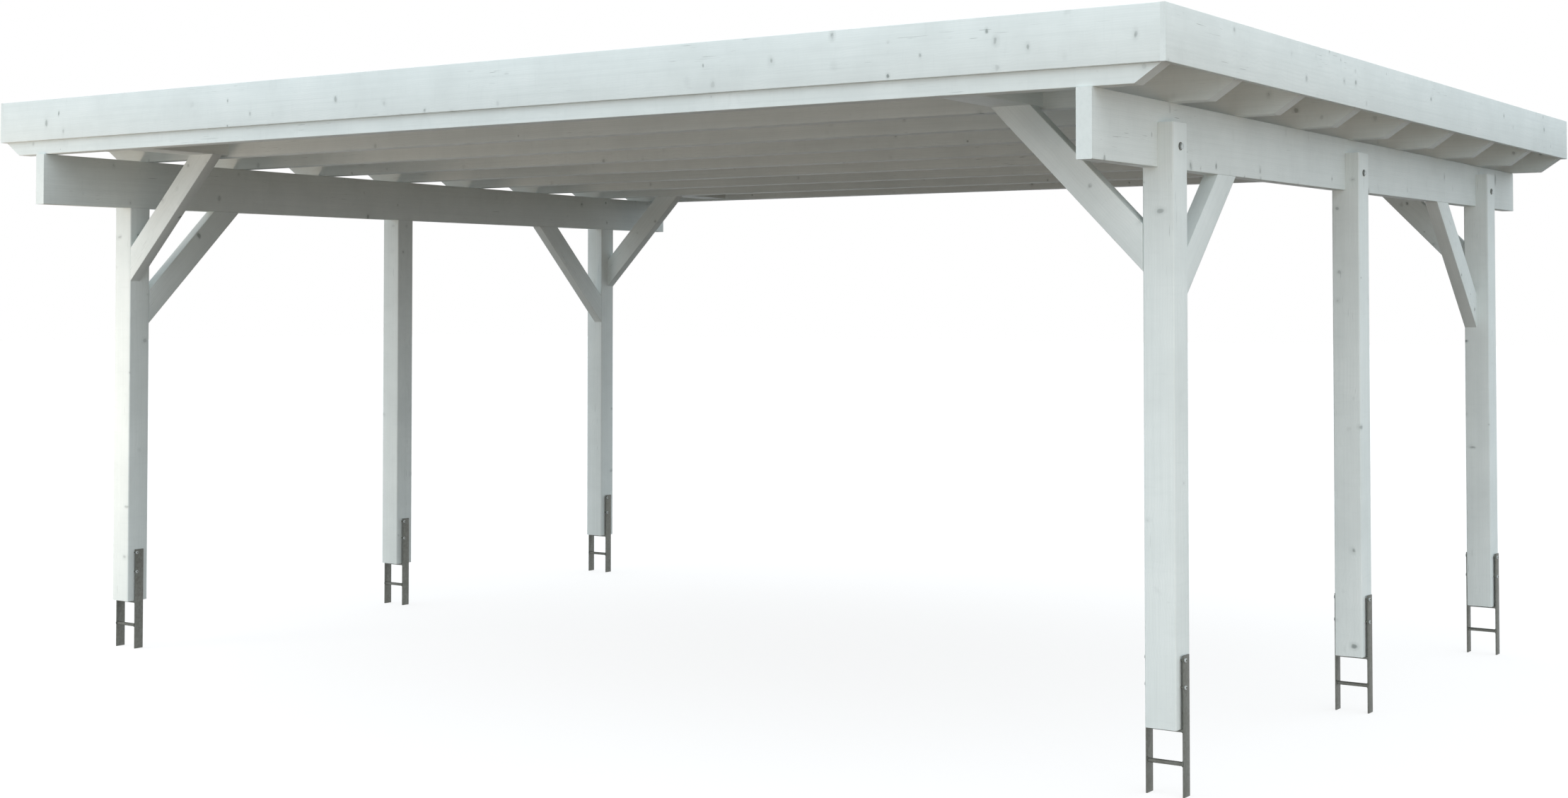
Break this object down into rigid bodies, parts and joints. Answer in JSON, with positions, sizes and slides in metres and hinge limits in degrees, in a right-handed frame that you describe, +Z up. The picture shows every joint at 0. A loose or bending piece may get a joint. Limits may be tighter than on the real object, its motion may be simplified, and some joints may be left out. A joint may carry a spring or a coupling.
{
  "type": "flat-roofed double carport",
  "caption": "Open flat-roofed timber carport: square posts on steel anchors carry purlins, rafters, slanting braces and a fascia around the roof.",
  "frame": {"origin": "centre of the footprint, level with the lower ends of the post anchors", "axes": "+X to the right across the drive-in front, +Y from the front to the back, +Z up"},
  "size_m": [6.264, 4.9168, 2.7396],
  "materials": {
    "post_timber": "whitewashed planed spruce",
    "frame_timber": "whitewashed planed spruce",
    "fascia_timber": "whitewashed planed spruce",
    "roof_board_timber": "whitewashed boards",
    "roof_sheet_rubber": "matt dark roofing sheet",
    "anchor_steel": "dull galvanised"
  },
  "bodies": {
    "root": {"front_left_post": "post_timber", "front_right_post": "post_timber", "middle_left_post": "post_timber", "middle_right_post": "post_timber", "back_left_post": "post_timber", "back_right_post": "post_timber", "front_left_anchor": "anchor_steel", "front_right_anchor": "anchor_steel", "middle_left_anchor": "anchor_steel", "middle_right_anchor": "anchor_steel", "back_left_anchor": "anchor_steel", "back_right_anchor": "anchor_steel", "left_purlin": "frame_timber", "right_purlin": "frame_timber", "rafter_1": "frame_timber", "rafter_2": "frame_timber", "rafter_3": "frame_timber", "rafter_4": "frame_timber", "rafter_5": "frame_timber", "rafter_6": "frame_timber", "rafter_7": "frame_timber", "rafter_8": "frame_timber", "rafter_9": "frame_timber", "front_left_trimmer": "frame_timber", "front_right_trimmer": "frame_timber", "back_left_trimmer": "frame_timber", "back_right_trimmer": "frame_timber", "front_left_cross_brace": "frame_timber", "front_right_cross_brace": "frame_timber", "back_left_cross_brace": "frame_timber", "back_right_cross_brace": "frame_timber", "front_left_side_brace": "frame_timber", "front_right_side_brace": "frame_timber", "back_left_side_brace": "frame_timber", "back_right_side_brace": "frame_timber", "front_fascia": "fascia_timber", "back_fascia": "fascia_timber", "left_fascia": "fascia_timber", "right_fascia": "fascia_timber", "roof_boards": "roof_board_timber", "roof_sheet": "roof_sheet_rubber"}
  },
  "joints": []
}
